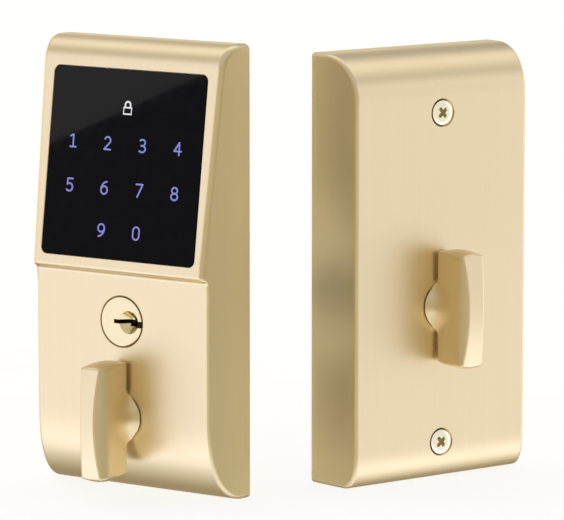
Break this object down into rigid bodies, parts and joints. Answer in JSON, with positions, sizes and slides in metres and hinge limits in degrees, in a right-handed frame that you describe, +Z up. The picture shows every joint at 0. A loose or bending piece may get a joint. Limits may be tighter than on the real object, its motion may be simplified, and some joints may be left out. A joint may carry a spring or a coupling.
{
  "type": "keypad smart lock",
  "caption": "Smart deadbolt trim: a touch keypad case with key cylinder and thumb turn, and an inside battery case with thumb turn, side by side.",
  "frame": {"origin": "centre of the whole object's box in X and Y, on the surface that both cases stand on", "axes": "+Z up along both cases; +X across the pair, from the keypad case to the battery case; fronts look towards -Y, turned outwards by about 35 degrees each"},
  "size_m": [0.179, 0.1036, 0.1638],
  "materials": {
    "satin_brass": "vertically brushed satin brass under clear lacquer",
    "polished_brass": "polished brass",
    "black_glass": "gloss black toughened glass, printed on its back, opaque",
    "steel": "bright zinc plated",
    "spring_steel": "bright",
    "zinc": "bare die-cast zinc",
    "rubber": "matte",
    "foam": "pale closed-cell foam",
    "black_plastic": "matte",
    "clear_plastic": "translucent light guide",
    "circuit_board": "green solder resist",
    "cell_wrap": "plain blue-grey printed sleeve, no text"
  },
  "bodies": {
    "cases": {"touchscreen_glass": "black_glass", "keypad_seal": "rubber", "light_guide": "clear_plastic", "touch_board": "circuit_board", "board_carrier": "black_plastic", "board_screw_1": "steel", "board_screw_2": "steel", "board_screw_3": "steel", "board_screw_4": "steel", "outer_housing": "satin_brass", "cylinder_shell": "polished_brass", "cylinder_nut": "zinc", "outside_bushing": "black_plastic", "idler_pin": "steel", "gear_plate": "zinc", "clutch_solenoid": "zinc", "outer_back_plate": "steel", "outer_gasket": "foam", "plate_screw_1": "steel", "plate_screw_2": "steel", "plate_screw_3": "steel", "plate_screw_4": "steel", "bolt_post_1": "steel", "bolt_post_2": "steel", "outer_cable_socket": "black_plastic", "inner_housing": "satin_brass", "inside_bushing": "black_plastic", "battery_tray": "black_plastic", "battery_contact_bottom": "spring_steel", "battery_contact_top": "spring_steel", "battery_1": "cell_wrap", "battery_2": "cell_wrap", "battery_3": "cell_wrap", "battery_4": "cell_wrap", "control_board": "circuit_board", "buzzer": "black_plastic", "inner_cable_header": "black_plastic", "cover_screw_top": "polished_brass", "cover_post_top": "steel", "cover_screw_bottom": "polished_brass", "cover_post_bottom": "steel", "inner_mounting_plate": "steel", "inner_gasket": "foam", "through_bolt_1": "steel", "through_bolt_2": "steel"},
    "outside_turn": {"outside_turn": "satin_brass", "outside_spindle": "steel", "turn_gear": "steel", "spindle_clip": "spring_steel"},
    "idler": {"idler_gear": "steel"},
    "tail_hub": {"tail_hub": "steel", "tailpiece": "steel"},
    "key_plug": {"key_plug": "polished_brass", "plug_cam": "steel"},
    "clutch_plunger": {"clutch_plunger": "steel"},
    "inside_turn": {"inside_turn": "satin_brass", "inside_spindle": "steel", "inside_drive": "steel", "inside_clip": "spring_steel"}
  },
  "joints": [
    {"name": "outside_turn_hinge", "type": "hinge", "parent": "cases", "child": "outside_turn", "pos_m": [-0.0573, -0.02824, 0.0285], "axis": [-0.565, -0.8251, 0], "range_deg": [-90, 90]},
    {"name": "idler_hinge", "type": "hinge", "parent": "cases", "child": "idler", "pos_m": [-0.04917, -0.01636, 0.0458], "axis": [-0.565, -0.8251, 0], "range_deg": [-181, 181]},
    {"name": "tail_hub_hinge", "type": "hinge", "parent": "cases", "child": "tail_hub", "pos_m": [-0.04917, -0.01636, 0.0631], "axis": [-0.565, -0.8251, 0], "range_deg": [-91, 91]},
    {"name": "key_plug_hinge", "type": "hinge", "parent": "cases", "child": "key_plug", "pos_m": [-0.0573, -0.02824, 0.0631], "axis": [-0.565, -0.8251, 0], "range_deg": [-90, 90]},
    {"name": "clutch_plunger_slide", "type": "slide", "parent": "cases", "child": "clutch_plunger", "axis": [-0.8251, 0.565, 0], "range_m": [0, 0.002], "stiffness_N_per_m": 60},
    {"name": "inside_turn_hinge", "type": "hinge", "parent": "cases", "child": "inside_turn", "pos_m": [0.05876, -0.0002, 0.0646], "axis": [0.599, -0.8007, 0], "range_deg": [-90, 90]}
  ],
  "couplings": [
    {"joint": "idler_hinge", "follows": "outside_turn_hinge", "ratio": -2},
    {"joint": "tail_hub_hinge", "follows": "outside_turn_hinge", "ratio": 1}
  ]
}
